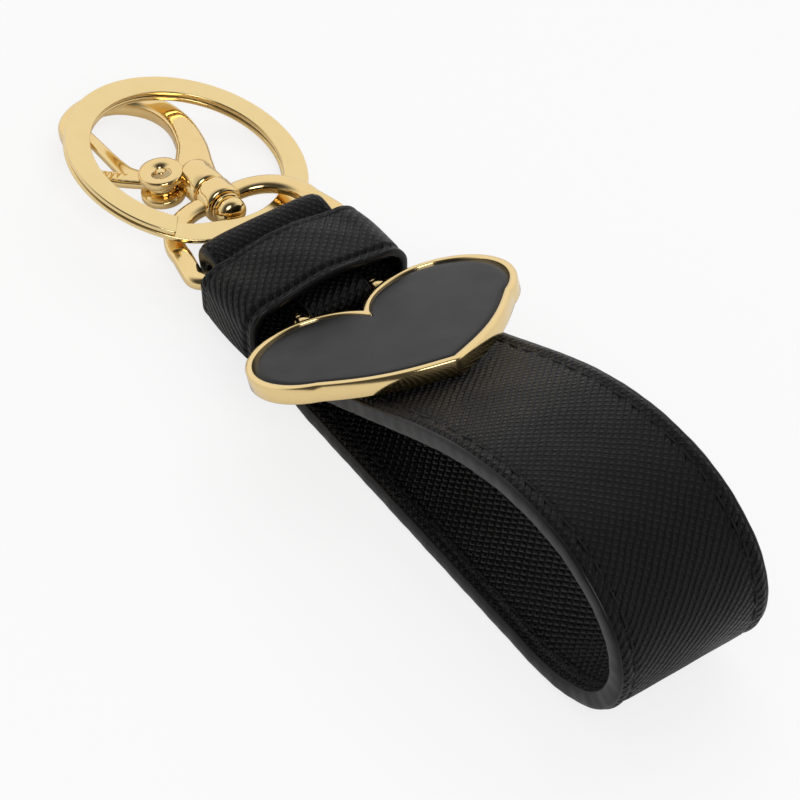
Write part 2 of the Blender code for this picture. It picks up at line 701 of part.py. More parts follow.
def make_gate(parts, guides, swivel):
    """Build the hook's gate with its thumb lever, the pivot pin and the hidden spring."""
    pivot = bpy.data.objects.new("gate_axis", None)
    out = BASE_NEAR + PIVOT_OUT
    place(pivot, parts, None, Matrix.Translation((-out, PIVOT_SIDE, 0)), swivel)
    shift = Matrix.Translation((out, -PIVOT_SIDE, 0))
    gate = plate_curve("hook_gate", [ribbon(GATE_ROUTE, BASE_NEAR)], GATE_THICKNESS, GATE_EDGE)
    gate = as_mesh(place(gate, parts, gold("gate_gold"), shift, pivot), parts)
    thumb_thickness = GATE_THICKNESS - 0.2 * MM
    thumb = plate_curve("gate_thumb", [ribbon(THUMB_ROUTE, BASE_NEAR)], thumb_thickness, GATE_EDGE)
    thumb = as_mesh(place(thumb, guides, None, shift, pivot), guides)
    hub_thickness = GATE_THICKNESS + 0.1 * MM
    still = Matrix.Identity(4)
    hub = cylinder("gate_hub", GATE_HUB_RADIUS, hub_thickness, guides, None, still, pivot)
    bore = cylinder(
        "gate_bore", PIN_RADIUS + PIN_GAP, 4 * GATE_THICKNESS, guides, None, still, pivot, 24
    )
    room = Matrix.Translation((0, 0, hub_thickness / 2 - SPRING_ROOM + hub_thickness))
    pocket_radius = SPRING_RADIUS + SPRING_WIRE / 2 + RUNNING_GAP
    pocket = cylinder(
        "gate_spring_pocket", pocket_radius, 2 * hub_thickness, guides, None, room, pivot
    )
    boolean(gate, hub, "UNION")
    boolean(gate, thumb, "UNION")
    boolean(gate, bore, "DIFFERENCE")
    boolean(gate, pocket, "DIFFERENCE")
    cylinder("gate_pin", PIN_RADIUS, HUB_THICKNESS, parts, gold("pin_gold"), still, pivot, 24)
    wire = bpy.data.curves.new("gate_spring", "CURVE")
    wire.dimensions = "3D"
    wire.bevel_depth = SPRING_WIRE / 2
    wire.bevel_resolution = 1
    wire.use_fill_caps = True
    spline = wire.splines.new("POLY")
    count = SPRING_TURNS * 20
    spline.points.add(count)
    low = hub_thickness / 2 - SPRING_ROOM + RUNNING_GAP
    for index, point in enumerate(spline.points):
        angle = 2 * math.pi * SPRING_TURNS * index / count
        height = low + SPRING_LENGTH * index / count
        point.co = (SPRING_RADIUS * math.cos(angle), SPRING_RADIUS * math.sin(angle), height, 1.0)
    spring = bpy.data.objects.new("gate_spring", wire)
    place(spring, parts, finish("spring_steel", (0.5, 0.5, 0.5), 1.0, 0.3), still, pivot)


def make_split_ring(parts, guides, frame):
    """Build the split key ring: one flat wire in two coils, with a step between them."""
    section = bpy.data.curves.new("ring_section", "CURVE")
    section.dimensions = "2D"
    corner = 0.18 * MM
    wide = RING_RIM / 2
    tall = COIL_THICKNESS / 2
    outline = section.splines.new("POLY")
    outline.points.add(7)
    corners = (
        (wide, corner - tall), (wide, tall - corner), (wide - corner, tall), (corner - wide, tall),
        (-wide, tall - corner), (-wide, corner - tall), (corner - wide, -tall), (wide - corner, -tall),
    )
    for point, (x, y) in zip(outline.points, corners):
        point.co = (x, y, 0.0, 1.0)
    outline.use_cyclic_u = True
    shape = bpy.data.objects.new("ring_section", section)
    place(shape, guides, None, Matrix.Identity(4))
    shape.hide_render = True
    shape.display_type = "WIRE"
    wire = bpy.data.curves.new("split_ring", "CURVE")
    wire.dimensions = "3D"
    wire.twist_mode = "Z_UP"
    wire.bevel_mode = "OBJECT"
    wire.bevel_object = shape
    wire.use_fill_caps = True
    path = wire.splines.new("POLY")
    radius = RING_OUTER_RADIUS - RING_RIM / 2
    first = STEP_START + STEP_ANGLE + COIL_END_GAP - 360.0
    last = STEP_START + 360.0 - COIL_END_GAP
    count = 140
    path.points.add(count)
    for index, point in enumerate(path.points):
        turn = first + (last - first) * index / count
        rise = smooth((turn - STEP_START) / STEP_ANGLE)
        angle = math.radians(turn)
        height = (rise - 0.5) * COIL_PITCH
        point.co = (radius * math.cos(angle), radius * math.sin(angle), height, 1.0)
    ring = bpy.data.objects.new("split_ring", wire)
    tilt = Matrix.Rotation(RING_PITCH, 4, "Y") @ Matrix.Rotation(-RING_ROLL, 4, "X")
    centre = Matrix.Translation((-RING_OUT, 0, RING_UP))
    place(ring, parts, gold("ring_gold"), centre @ tilt, frame)
    as_mesh(ring, parts)


def make_hardware(parts, guides):
    """Build the metal pieces on the D-ring's bar, all hanging from the bar's axis."""
    frame = bpy.data.objects.new("d_ring_axis", None)
    seat = Matrix.Translation((BAR_X, 0, BAR_Z)) @ Matrix.Rotation(-HARDWARE_DROP, 4, "Y")
    place(frame, parts, None, seat)
    swivel = bpy.data.objects.new("swivel_axis", None)
    place(swivel, parts, None, Matrix.Identity(4), frame)
    make_d_ring(parts, guides, frame)
    make_swivel(parts, swivel)
    make_hook(parts, guides, swivel)
    make_gate(parts, guides, swivel)
    make_split_ring(parts, guides, frame)


def main():
    clear_scene()
    parts = make_collection("wristlet_keychain")
    guides = make_collection("guides")
    make_strap(parts, guides)
    make_keeper(parts)
    make_heart_tab(parts)
    make_heart(parts, guides)
    make_hardware(parts, guides)


main()
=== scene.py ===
import math

import bpy
import numpy as np
from mathutils import Matrix, Vector


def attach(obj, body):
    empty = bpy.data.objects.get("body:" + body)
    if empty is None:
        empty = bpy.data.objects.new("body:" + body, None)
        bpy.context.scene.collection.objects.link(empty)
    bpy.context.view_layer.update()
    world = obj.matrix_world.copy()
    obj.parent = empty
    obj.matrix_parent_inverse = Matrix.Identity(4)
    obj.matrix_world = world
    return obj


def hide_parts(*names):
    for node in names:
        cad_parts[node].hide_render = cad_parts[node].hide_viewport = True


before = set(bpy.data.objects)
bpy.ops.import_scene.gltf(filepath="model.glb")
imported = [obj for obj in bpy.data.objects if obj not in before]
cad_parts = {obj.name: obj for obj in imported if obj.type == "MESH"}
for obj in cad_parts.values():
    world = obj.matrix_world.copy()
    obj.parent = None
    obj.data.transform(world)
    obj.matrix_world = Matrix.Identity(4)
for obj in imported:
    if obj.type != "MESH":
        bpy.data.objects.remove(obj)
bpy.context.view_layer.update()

MM = 0.001
rng = np.random.default_rng(11)


# ---------------------------------------------------------------- strap, outer leather
# One long piece of black cross-hatch embossed leather: it wraps the D-ring's bar, runs flat,
# bends up into the wrist loop and comes back into the keeper. It is sewn to the lining.

STRAP_HALF = 11.0
STITCH_LINE = 8.9
STITCH_PITCH = 3.35


def strap_path(step=0.35):
    """The strap's outer side in the XZ plane, in mm: straight and arc legs walked in turn.

    Returns x, z, heading (radians), distance, and how far the core fills the strap (0 to 1).
    """
    run_z, fold_radius, tail_top = 1.7, 3.7, 6.2
    ramp_turn = 2 * math.atan(run_z / 12.0)
    ramp_arc = 12.0 / (2 * math.sin(ramp_turn)) * ramp_turn
    legs = [(6.5, 0), (math.pi * fold_radius, 180), (14.7, 0)]
    legs += [(ramp_arc, -math.degrees(ramp_turn)), (ramp_arc, math.degrees(ramp_turn))]
    core_start = sum(leg[0] for leg in legs)
    legs += [(48.3, 0), (12, 31.2), (12, 50.1), (12, 56.3), (12, 36.4), (12, 19.6), (12, 11.7), (8, 2.7)]
    x, z, heading, distance = -38.5, 9.1, math.pi, 0.0
    rows = [(x, z, heading, distance)]

    def walk(length, turn):
        nonlocal x, z, heading, distance
        count = max(1, round(length / step))
        for _ in range(count):
            half = math.radians(turn) / count / 2
            heading += half
            x += length / count * math.cos(heading)
            z += length / count * math.sin(heading)
            heading += half
            distance += length / count
            rows.append((x, z, heading, distance))

    for length, turn in legs:
        walk(length, turn)
    fall = heading - 3 * math.pi
    ease = 8.0
    straight = (z - tail_top - ease / fall * (1 - math.cos(fall))) / math.sin(fall)
    core_end = distance + straight
    for length, turn in ((straight, 0), (ease, -math.degrees(fall)), (15.0, 0)):
        walk(length, turn)
    rows = np.array(rows)
    s = rows[:, 3]
    rise = np.clip((s - core_start + 8.0) / 8.0, 0, 1)
    fade = np.clip((core_end + 8.0 - s) / 8.0, 0, 1)
    full = rise * rise * (3 - 2 * rise) * fade * fade * (3 - 2 * fade)
    return rows[:, 0], rows[:, 1], rows[:, 2], s, full


def surface(name, points, wrap_u=False, wrap_v=False, uv=None):
    """A smooth mesh object from a grid of points in mm (rows u, columns v), closed where asked."""
    nu, nv = points.shape[:2]
    iu = np.arange(nu if wrap_u else nu - 1)
    iv = np.arange(nv if wrap_v else nv - 1)
    a, b = np.meshgrid(iu, iv, indexing="ij")
    a, b = a.ravel(), b.ravel()
    a1, b1 = (a + 1) % nu, (b + 1) % nv
    quads = np.stack([a * nv + b, a1 * nv + b, a1 * nv + b1, a * nv + b1], 1)
    mesh = bpy.data.meshes.new(name)
    mesh.vertices.add(nu * nv)
    mesh.vertices.foreach_set("co", (points.reshape(-1, 3) * MM).astype(np.float32).ravel())
    mesh.loops.add(quads.size)
    mesh.loops.foreach_set("vertex_index", quads.ravel().astype(np.int32))
    mesh.polygons.add(len(quads))
    mesh.polygons.foreach_set("loop_start", np.arange(0, quads.size, 4, dtype=np.int32))
    mesh.update(calc_edges=True)
    mesh.polygons.foreach_set("use_smooth", np.ones(len(quads), bool))
    if uv is not None:
        layer = mesh.uv_layers.new(name="mm")
        u, v = uv[..., 0], uv[..., 1]
        width = np.concatenate([v, v[:, :1] + (v[:, -1:] - v[:, :1]) * nv / max(1, nv - 1)], 1)
        long = np.concatenate([u, u[:1] + (u[-1:] - u[:1]) * nu / max(1, nu - 1)], 0)
        un = np.concatenate([long, long[:, :1]], 1)
        vn = np.concatenate([width, width[:1]], 0)
        corners = [(a, b), (a + 1, b), (a + 1, b + 1), (a, b + 1)]
        flat = np.stack([np.stack([un[i, j], vn[i, j]], 1) for i, j in corners], 1)
        layer.data.foreach_set("uv", flat.astype(np.float32).ravel())
    item = bpy.data.objects.new(name, mesh)
    bpy.context.scene.collection.objects.link(item)
    return item


def sweep(path_x, path_z, heading, depth, side):
    """Points at a depth under the path's outer side and a distance across it."""
    x = path_x[:, None] - np.sin(heading)[:, None] * depth
    z = path_z[:, None] + np.cos(heading)[:, None] * depth
    return np.stack(np.broadcast_arrays(x, side, z), -1)


def shader_tree(name):
    """A new node material: returns it, its Principled shader and small functions to add to it."""
    material = bpy.data.materials.new(name)
    material.use_nodes = True
    tree = material.node_tree
    shader = tree.nodes["Principled BSDF"]

    def node(kind, inputs=(), **settings):
        made = tree.nodes.new(kind)
        for key, value in settings.items():
            setattr(made, key, value)
        for key, value in dict(inputs).items():
            if isinstance(value, bpy.types.NodeSocket):
                tree.links.new(value, made.inputs[key])
            else:
                made.inputs[key].default_value = value
        return made

    def link(output, target):
        tree.links.new(output, target)

    return material, shader, node, link


def leather_material(name, colour, turn, pitch=0.9, rough=0.42, strength=1.0, cut_floor=0.35):
    """Cross-hatch embossed black leather on the piece's own mm coordinates.

    Two families of fine ridges cross at 45 degrees: cords, and the grooves that cut them, which
    go down to cut_floor of the cord's height. Broad noise varies the gloss, and fine noise breaks
    up the ridges. The colour carries painted shade: it falls to 0.15 of itself down in the grooves.
    """
    material, shader, node, link = shader_tree(name)
    place = node("ShaderNodeUVMap", uv_map="mm").outputs[0]
    wobble = node("ShaderNodeTexNoise", {"Vector": place, "Scale": 0.35, "Detail": 2.0})
    shifted = node(
        "ShaderNodeVectorMath",
        {0: wobble.outputs["Color"], 1: (0.5, 0.5, 0.5)},
        operation="SUBTRACT",
    ).outputs[0]
    scaled = node("ShaderNodeVectorMath", {0: shifted, "Scale": 0.5}, operation="SCALE").outputs[0]
    moved = node("ShaderNodeVectorMath", {0: place, 1: scaled}, operation="ADD").outputs[0]
    ridges = []
    for angle in (45.0 + turn, -45.0 + turn):
        c, s = math.cos(math.radians(angle)), math.sin(math.radians(angle))
        along = node("ShaderNodeVectorMath", {0: moved, 1: (c, s, 0)}, operation="DOT_PRODUCT")
        wave = node(
            "ShaderNodeMath", {0: along.outputs["Value"], 1: 2 * math.pi / pitch}, operation="MULTIPLY"
        )
        ridges.append(node("ShaderNodeMath", {0: wave.outputs[0]}, operation="SINE").outputs[0])
    cord = node(
        "ShaderNodeMapRange", {0: ridges[0], 1: -1.0, 2: 0.6, 3: 0.0, 4: 1.0}, interpolation_type="SMOOTHSTEP"
    )
    cut = node(
        "ShaderNodeMapRange",
        {0: ridges[1], 1: -1.0, 2: 0.3, 3: cut_floor, 4: 1.0},
        interpolation_type="SMOOTHSTEP",
    )
    grain = node(
        "ShaderNodeMath", {0: cord.outputs[0], 1: cut.outputs[0]}, operation="MULTIPLY"
    ).outputs[0]
    fine = node("ShaderNodeTexNoise", {"Vector": place, "Scale": 6.0, "Detail": 3.0}).outputs["Fac"]
    height = node("ShaderNodeMath", {0: fine, 1: 0.22, 2: grain}, operation="MULTIPLY_ADD").outputs[0]
    bump = node("ShaderNodeBump", {"Strength": strength, "Distance": 0.00030, "Height": height})
    link(bump.outputs[0], shader.inputs["Normal"])
    broad = node("ShaderNodeTexNoise", {"Vector": place, "Scale": 0.12, "Detail": 3.0}).outputs["Fac"]
    gloss = node("ShaderNodeMapRange", {0: broad, 1: 0.3, 2: 0.7, 3: rough - 0.05, 4: rough + 0.07})
    lift = node(
        "ShaderNodeMath", {0: grain, 1: -0.10, 2: gloss.outputs[0]}, operation="MULTIPLY_ADD"
    ).outputs[0]
    link(lift, shader.inputs["Roughness"])
    # Painted shade: the grooves between the cords are coloured darker, down to 0.15 of the colour.
    dark = tuple(c * 0.15 for c in colour)
    tint = node("ShaderNodeMix", {"Factor": grain, "A": (*dark, 1), "B": (*colour, 1)}, data_type="RGBA")
    link(tint.outputs["Result"], shader.inputs["Base Color"])
    shader.inputs["Specular IOR Level"].default_value = 0.17
    return material


path = strap_path()
px, pz, ph, ps, core_fill = path
FULL, SKIVED = 2.8, 2.1
thickness = SKIVED + (FULL - SKIVED) * core_fill
narrow = np.clip((ps - 3.2) / 1.6, 0, 1) * np.clip((21.2 - ps) / 1.6, 0, 1)
half_width = STRAP_HALF - 1.6 * narrow
sew = np.clip((ps - 31.0) / 2.0, 0, 1)
hump = 1.25 * np.exp(-(((ps - 9.2) / 2.7) ** 2)) - 0.30 * np.exp(-(((ps - 4.9) / 0.7) ** 2))


def across(fine, half=1.0):
    """Sample places across a strap of half width 1, finer at the stitch lines and the edges."""
    parts = [np.linspace(0, 0.72, fine), np.linspace(0.735, 0.90, 16), np.linspace(0.915, half, 8)]
    right = np.concatenate(parts)
    return np.concatenate([-right[:0:-1], right])


def stitch_dip(s, side):
    """How far the thread pulls the leather in: a channel, deepest at the needle holes."""
    off = np.abs(np.abs(side) - STITCH_LINE)
    hole = np.abs((s[:, None] / STITCH_PITCH) % 1.0 - 0.5) * 2
    channel = 0.09 * np.exp(-((off / 0.50) ** 2))
    return channel + 0.20 * np.exp(-((off / 0.26) ** 2)) * hole**10


def strap_skin(name, outer):
    """One leather of the strap: a slab with crowned faces and edges eased into the paint."""
    t = across(13, 0.972)
    side = t[None, :] * half_width[:, None]
    edge = np.clip((np.abs(t[None, :]) - 0.90) / 0.072, 0, 1)
    ease = 0.30 * edge**2 - 0.10 * np.exp(-(((np.abs(side) - 9.9) / 0.5) ** 2))
    ripple = 0.035 * np.sin(ps[:, None] * 0.55 + 1.3 * np.sin(side * 0.5))
    dip = stitch_dip(ps, side) * sew[:, None] + ease + ripple
    if outer:
        crown = hump[:, None] * (1 - 0.35 * t[None, :] ** 4)
        top = sweep(px, pz, ph, dip - crown, side)
        low = sweep(px, pz, ph, 1.15 + 0 * dip, side)
    else:
        top = sweep(px, pz, ph, (thickness - 0.95)[:, None] + 0 * dip, side)
        low = sweep(px, pz, ph, thickness[:, None] - dip, side)
    ring = np.concatenate([top, low[:, ::-1]], 1)
    ends = [ring[:1].mean(1, keepdims=True) + 0 * ring[:1], ring[-1:].mean(1, keepdims=True) + 0 * ring[-1:]]
    ring = np.concatenate([ends[0], ring, ends[1]], 0)
    s = np.concatenate([ps[:1], ps, ps[-1:]])
    width = np.concatenate([side[0], side[0][::-1] + 30.0])
    uv = np.stack(np.broadcast_arrays(s[:, None], width[None, :]), -1)
    return surface(name, ring, wrap_v=True, uv=uv)


BLACK_HIDE = (0.0050, 0.0050, 0.0052)
outer_leather = leather_material(
    "outer leather grain", BLACK_HIDE, 87.4, pitch=0.86, cut_floor=0.42
)
skin = strap_skin("strap_outer_skin", True)
skin.data.materials.append(outer_leather)
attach(skin, "strap")
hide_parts("strap_outer_leather")


# ---------------------------------------------------------------- strap, lining and core
# The loop's inside is lined with the same embossed leather. The thin core board between the two
# leathers stays as the CAD has it, and shows only as a hidden layer.

lining_leather = leather_material(
    "lining leather grain", (0.0026, 0.0026, 0.0028), 89.1, rough=0.36, cut_floor=0.05
)
lining = strap_skin("strap_lining_skin", False)
lining.data.materials.append(lining_leather)
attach(lining, "strap")
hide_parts("strap_lining")

board, board_shader, node, link = shader_tree("core board fibres")
fibre = node("ShaderNodeTexNoise", {"Scale": 900.0, "Detail": 4.0})
coords = node("ShaderNodeTexCoord")
link(coords.outputs["Object"], fibre.inputs["Vector"])
ramp = node(
    "ShaderNodeMix",
    {"Factor": fibre.outputs["Fac"], "A": (0.05, 0.04, 0.03, 1), "B": (0.12, 0.10, 0.08, 1)},
    data_type="RGBA",
)
link(ramp.outputs["Result"], board_shader.inputs["Base Color"])
board_shader.inputs["Roughness"].default_value = 0.9
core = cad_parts["strap_core"]
core.data.materials.clear()
core.data.materials.append(board)


# ---------------------------------------------------------------- strap, edge paint
# Both long edges are sanded round and painted black: a smooth satin bead over all the layers.


def paint_material(name, rough=0.33):
    """Black edge paint: satin, a little uneven where the coats pooled, with faint fine bumps."""
    material, shader, node, link = shader_tree(name)
    coords = node("ShaderNodeTexCoord").outputs["Object"]
    pooled = node("ShaderNodeTexNoise", {"Vector": coords, "Scale": 260.0, "Detail": 3.0}).outputs["Fac"]
    gloss = node("ShaderNodeMapRange", {0: pooled, 1: 0.3, 2: 0.7, 3: rough - 0.06, 4: rough + 0.08})
    link(gloss.outputs[0], shader.inputs["Roughness"])
    tint = node(
        "ShaderNodeMix",
        {"Factor": pooled, "A": (0.004, 0.004, 0.0043, 1), "B": (0.007, 0.007, 0.0075, 1)},
        data_type="RGBA",
    )
    link(tint.outputs["Result"], shader.inputs["Base Color"])
    bump = node("ShaderNodeBump", {"Strength": 0.25, "Distance": 0.00012, "Height": pooled})
    link(bump.outputs[0], shader.inputs["Normal"])
    shader.inputs["Specular IOR Level"].default_value = 0.26
    return material


edge_paint = paint_material("edge paint")
for side_sign, label in ((-1, "near"), (1, "far")):
    angle = np.linspace(0, 2 * math.pi, 20, endpoint=False)
    bulge = np.sign(np.cos(angle)) * np.abs(np.cos(angle)) ** 0.75
    swell = np.sign(np.sin(angle)) * np.abs(np.sin(angle)) ** 0.85
    uneven = 0.03 * np.sin(ps * 0.9) + 0.02 * np.sin(ps * 2.3 + 1)
    half_thick = (thickness + 0.65 * hump) / 2 - 0.16
    depth = (thickness - 0.65 * hump)[:, None] / 2 + half_thick[:, None] * swell[None, :]
    reach = half_width[:, None] - 0.42 + (0.52 + uneven[:, None]) * bulge[None, :]
    bead = sweep(px, pz, ph, depth, side_sign * reach)
    caps = [bead[:1].mean(1, keepdims=True) + 0 * bead[:1], bead[-1:].mean(1, keepdims=True) + 0 * bead[-1:]]
    bead = np.concatenate([caps[0], bead, caps[1]], 0)
    if side_sign > 0:
        bead = bead[:, ::-1]
    painted = surface(f"strap_edge_paint_{label}", bead, wrap_v=True)
    painted.data.materials.append(edge_paint)
    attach(painted, "strap")


# ---------------------------------------------------------------- stitching
# Black bonded thread sews the two leathers together along both long edges, and one row across
# the fold holds the D-ring's bar in place. Every stitch is a short twisted capsule in its dip.

thread, thread_shader, node, link = shader_tree("black thread")
coords = node("ShaderNodeTexCoord").outputs["Object"]
twist = node("ShaderNodeTexNoise", {"Vector": coords, "Scale": 3500.0, "Detail": 2.0}).outputs["Fac"]
bump = node("ShaderNodeBump", {"Strength": 0.6, "Distance": 0.00008, "Height": twist})
link(bump.outputs[0], thread_shader.inputs["Normal"])
tint = node(
    "ShaderNodeMix",
    {"Factor": twist, "A": (0.002, 0.002, 0.002, 1), "B": (0.006, 0.006, 0.006, 1)},
    data_type="RGBA",
)
link(tint.outputs["Result"], thread_shader.inputs["Base Color"])
thread_shader.inputs["Roughness"].default_value = 0.55
thread_shader.inputs["Specular IOR Level"].default_value = 0.2


def capsules(name, centres, along, up, length, radius, around=8, rings=7):
    """Many capsules in one mesh: each bowed up in the middle, pinched and sunk at its ends."""
    k = np.linspace(-1, 1, rings)
    a = np.linspace(0, 2 * math.pi, around, endpoint=False)
    fat = radius * np.sqrt(np.clip(1 - np.abs(k) ** 3.2, 0.0, 1))
    bow = -0.55 * radius * k**4
    side = np.cross(along, up)
    ring = (
        centres[:, None, None] + along[:, None, None] * (k * length / 2)[None, :, None, None]
        + up[:, None, None] * (bow[:, None] + fat[:, None] * np.sin(a)[None])[None, :, :, None]
        + side[:, None, None] * (fat[:, None] * np.cos(a)[None])[None, :, :, None]
    )
    count = len(centres)
    base = np.arange(count)[:, None, None] * rings * around
    i, j = np.meshgrid(np.arange(rings - 1), np.arange(around), indexing="ij")
    j1 = (j + 1) % around
    quads = np.stack([i * around + j, i * around + j1, (i + 1) * around + j1, (i + 1) * around + j], -1)
    quads = (base[..., None] + quads[None].reshape(1, -1, 1, 4)).reshape(-1, 4)
    mesh = bpy.data.meshes.new(name)
    mesh.from_pydata((ring.reshape(-1, 3) * MM).tolist(), [], quads.tolist())
    mesh.polygons.foreach_set("use_smooth", np.ones(len(quads), bool))
    item = bpy.data.objects.new(name, mesh)
    bpy.context.scene.collection.objects.link(item)
    item.data.materials.append(thread)
    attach(item, "strap")
    return item


def edge_row(outer):
    """Centres and directions of the stitches along both edges, on one face of the strap."""
    first = math.ceil(33.0 / STITCH_PITCH)
    last = math.floor((ps[-1] - 12.0) / STITCH_PITCH)
    s = np.arange(first, last) * STITCH_PITCH
    s = np.concatenate([s, s])
    side = np.concatenate([np.full(len(s) // 2, STITCH_LINE), np.full(len(s) // 2, -STITCH_LINE)])
    x, z, h = (np.interp(s, ps, v) for v in (px, pz, ph))
    deep = np.interp(s, ps, thickness)
    depth = 0.17 if outer else deep - 0.17
    centres = np.stack([x - np.sin(h) * depth, side, z + np.cos(h) * depth], 1)
    along = np.stack([np.cos(h), 0 * h, np.sin(h)], 1)
    up = np.stack([np.sin(h), 0 * h, -np.cos(h)], 1) * (1 if outer else -1)
    slant = np.radians(rng.normal(0, 2.5, len(s)))[:, None]
    along = along * np.cos(slant) + np.cross(up, along) * np.sin(slant)
    return centres, along, up


capsules("outer_edge_stitches", *edge_row(True), 2.95, 0.22)
capsules("lining_edge_stitches", *edge_row(False), 2.95, 0.20)


# ---------------------------------------------------------------- keeper band
# A band of the same leather wrapped crosswise round the strap's layers. Its edges are turned and
# painted, with a creased line just inside each, and its back edge is sewn down over the fold.


def rounded_loop(half, low, high, crown, corner, count=200):
    """A closed section in YZ: flat below, rounded corners, and a top that rises to the middle."""
    pieces = []
    for cy, cz, start in (
        (half - corner, low + corner, -90), (half - corner, high - corner, 0),
        (corner - half, high - corner, 90), (corner - half, low + corner, 180),
    ):
        a = np.radians(start + np.linspace(0, 90, 14))
        pieces.append(np.stack([cy + corner * np.cos(a), cz + corner * np.sin(a)], 1))
        if start == 0:
            y = np.linspace(half - corner, corner - half, 30)[1:-1]
            pieces.append(np.stack([y, high + crown * np.cos(y / (half - corner) * math.pi / 2) ** 1.3], 1))
    loop = np.concatenate(pieces)
    loop = np.concatenate([loop, loop[:1]])
    length = np.concatenate([[0], np.cumsum(np.hypot(*np.diff(loop, axis=0).T))])
    s = np.linspace(0, length[-1], count, endpoint=False)
    y, z = np.interp(s, length, loop[:, 0]), np.interp(s, length, loop[:, 1])
    dy, dz = np.roll(y, -1) - np.roll(y, 1), np.roll(z, -1) - np.roll(z, 1)
    size = np.hypot(dy, dz)
    return y, z, dz / size, -dy / size, s


KEEPER_BACK, KEEPER_FRONT = -42.8, -30.3
ky, kz, kny, knz, ks = rounded_loop(12.0, 0.65, 10.9, 1.2, 3.0, 240)
wide = np.linspace(0, 1, 64)
wide = 0.5 - 0.5 * np.cos(math.pi * wide)
kx = KEEPER_BACK + (KEEPER_FRONT - KEEPER_BACK) * wide
top_share = np.clip((kz - 6.5) / 4.0, 0, 1)[:, None]
BACK_SAG = 1.5
side_share = np.exp(-(((kz - 4.8) / 3.0) ** 2))[:, None]
crease = 0.42 * np.exp(-(((kx - KEEPER_FRONT + 1.35) / 0.32) ** 2))
crease = crease + 0.12 * np.exp(-(((kx - KEEPER_BACK - 1.1) / 0.25) ** 2))
belly = np.sin(math.pi * wide)[None, :] * (0.25 * top_share + 0.45 * side_share)
folds = 0.07 * np.sin(ks[:, None] * 0.8 + 2.2 * np.sin(kx[None, :] * 0.33)) * top_share
out = 0.5 - crease[None, :] + belly + folds
sag = -BACK_SAG * (1 - wide)[None, :] ** 1.2 * top_share
outer_face = np.stack(
    np.broadcast_arrays(
        kx[None, :], ky[:, None] + kny[:, None] * out, kz[:, None] + knz[:, None] * out + sag
    ),
    -1,
)
inner_face = np.stack(
    np.broadcast_arrays(kx[None, :], (ky - kny * 0.6)[:, None] + 0 * out, (kz - knz * 0.6)[:, None] + sag), -1
)
outer_face[:, 0, 0] += 0.25
outer_face[:, -1, 0] -= 0.25
slab = np.concatenate([outer_face, inner_face[:, ::-1]], 1)
span = np.concatenate([kx, kx[::-1] + 30])
uv = np.stack(np.broadcast_arrays(ks[:, None], span[None, :]), -1)
keeper_leather = leather_material(
    "keeper leather grain", BLACK_HIDE, 93.0, pitch=1.0, rough=0.44, cut_floor=0.8
)
keeper = surface("keeper_band", slab, wrap_u=True, wrap_v=True, uv=uv)
keeper.data.materials.append(keeper_leather)
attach(keeper, "strap")
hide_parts("keeper_outer_leather", "keeper_lining")

for label, x_edge, sign in (("front", KEEPER_FRONT, 1), ("back", KEEPER_BACK, -1)):
    angle = np.linspace(0, 2 * math.pi, 14, endpoint=False)
    edge_sag = (-BACK_SAG if sign < 0 else 0.0) * top_share
    off = -0.06 + 0.60 * np.sin(angle)[None, :]
    rim = np.stack(
        np.broadcast_arrays(
            x_edge - sign * 0.22 + sign * 0.40 * np.cos(angle)[None, :],
            ky[:, None] + kny[:, None] * off, kz[:, None] + knz[:, None] * off + edge_sag,
        ), -1,
    )
    if sign < 0:
        rim = rim[:, ::-1]
    band = surface(f"keeper_{label}_edge_paint", rim, wrap_u=True, wrap_v=True)
    band.data.materials.append(edge_paint)
    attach(band, "strap")

row = np.arange(-3, 4) * 2.75
cross_centres = np.stack([0 * row - 43.45, row, 0 * row + 8.86], 1)
cross_along = np.tile([0.0, 1.0, 0.0], (len(row), 1))
cross_up = np.tile([0.0, 0.0, 1.0], (len(row), 1))
capsules("fold_cross_stitches", cross_centres, cross_along, cross_up, 2.2, 0.28)


# ---------------------------------------------------------------- heart tab
# A narrow strip of the same leather, folded round the heart's bar. Both ends run back into the
# keeper, and its cut edges are painted like the strap's.

BAR = np.array([-28.6, 0.0, 8.3])
tab_outer_radius, tab_thick = 1.8, 0.8
back, pinch = -38.2, 6.5 + 1.9
count = 14
arc = np.radians(np.arange(-90, 91, 7.5))
low_leg = np.stack([np.linspace(back, BAR[0], count)[:-1], np.full(count - 1, 6.5)], 1)
bend = np.stack([BAR[0] + tab_outer_radius * np.cos(arc), BAR[2] + tab_outer_radius * np.sin(arc)], 1)
share = np.linspace(0, 1, count)[1:]
top_leg = np.stack([BAR[0] - (BAR[0] - back) * share, pinch + 1.7 * (1 - share * share * (3 - 2 * share))], 1)
line = np.concatenate([low_leg, bend, top_leg])
slope = np.gradient(line, axis=0)
th = np.unwrap(np.arctan2(slope[:, 1], slope[:, 0]))
ts = np.concatenate([[0], np.cumsum(np.hypot(*np.diff(line, axis=0).T))])
tt = np.linspace(-1, 1, 25)
tab_half = 4.55
swell = 0.05 * np.cos(tt * math.pi / 2) - 0.22 * np.clip((np.abs(tt) - 0.86) / 0.14, 0, 1) ** 2
top = sweep(line[:, 0], line[:, 1], th, -swell[None, :] + 0 * ts[:, None], tt[None, :] * tab_half)
low = sweep(line[:, 0], line[:, 1], th, tab_thick + 0 * ts[:, None] - 0.05, tt[None, :] * tab_half)
both_faces = np.concatenate([tt, tt[::-1] + 9])
tab_uv = np.stack(np.broadcast_arrays(ts[:, None], both_faces[None, :] * tab_half), -1)
tab_leather = leather_material("tab leather grain", BLACK_HIDE, 90.0, rough=0.40)
tab = surface("heart_tab", np.concatenate([top, low[:, ::-1]], 1), wrap_v=True, uv=tab_uv)
tab.data.materials.append(tab_leather)
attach(tab, "strap")
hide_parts("heart_tab")
